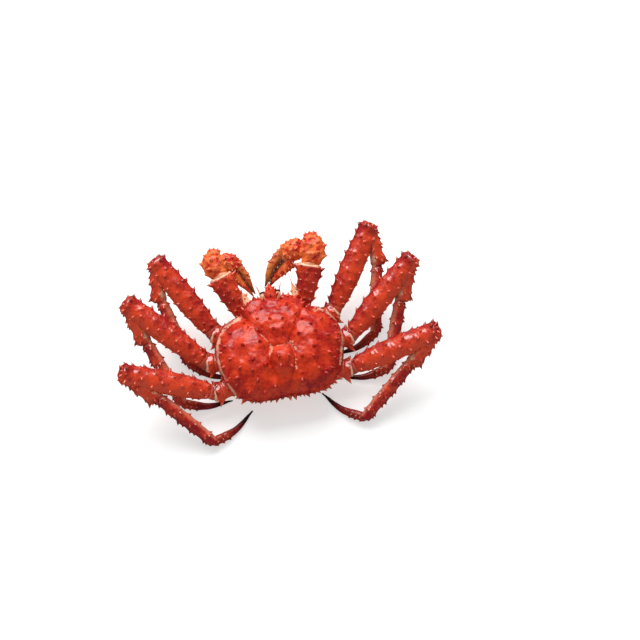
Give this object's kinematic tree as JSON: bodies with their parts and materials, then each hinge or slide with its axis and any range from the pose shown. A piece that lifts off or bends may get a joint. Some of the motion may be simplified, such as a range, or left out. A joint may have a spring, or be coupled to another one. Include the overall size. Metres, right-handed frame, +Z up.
{
  "type": "red king crab",
  "caption": "Still, life-size cooked red king crab on its belly, spiny legs folded beside a broad domed shell and the claws bent back to the mouth.",
  "frame": {"origin": "middle of the flat on the folded tail that the belly rests on", "axes": "+Z up from the floor, +Y from the tail towards the beak, +X towards the animal's right"},
  "size_m": [0.4084, 0.2497, 0.0933],
  "materials": {
    "shell": "wet gloss",
    "limb": "wet gloss",
    "horn": "satin",
    "underside": "satin",
    "eye": "gloss"
  },
  "bodies": {
    "root": {"carapace": "shell", "chest": "underside", "tail": "underside", "mouthparts": "underside", "eye_left": "eye", "antenna_left": "underside", "claw_left_base": "limb", "claw_left_merus": "limb", "claw_left_carpus": "limb", "claw_left_palm": "limb", "claw_left_finger": "horn", "leg_left_front_base": "limb", "leg_left_front_merus": "limb", "leg_left_front_carpus": "limb", "leg_left_front_propodus": "limb", "leg_left_front_dactylus": "horn", "leg_left_middle_base": "limb", "leg_left_middle_merus": "limb", "leg_left_middle_carpus": "limb", "leg_left_middle_propodus": "limb", "leg_left_middle_dactylus": "horn", "leg_left_rear_base": "limb", "leg_left_rear_merus": "limb", "leg_left_rear_carpus": "limb", "leg_left_rear_propodus": "limb", "leg_left_rear_dactylus": "horn", "eye_right": "eye", "antenna_right": "underside", "claw_right_base": "limb", "claw_right_merus": "limb", "claw_right_carpus": "limb", "claw_right_palm": "limb", "claw_right_finger": "horn", "leg_right_front_base": "limb", "leg_right_front_merus": "limb", "leg_right_front_carpus": "limb", "leg_right_front_propodus": "limb", "leg_right_front_dactylus": "horn", "leg_right_middle_base": "limb", "leg_right_middle_merus": "limb", "leg_right_middle_carpus": "limb", "leg_right_middle_propodus": "limb", "leg_right_middle_dactylus": "horn", "leg_right_rear_base": "limb", "leg_right_rear_merus": "limb", "leg_right_rear_carpus": "limb", "leg_right_rear_propodus": "limb", "leg_right_rear_dactylus": "horn"}
  },
  "joints": []
}
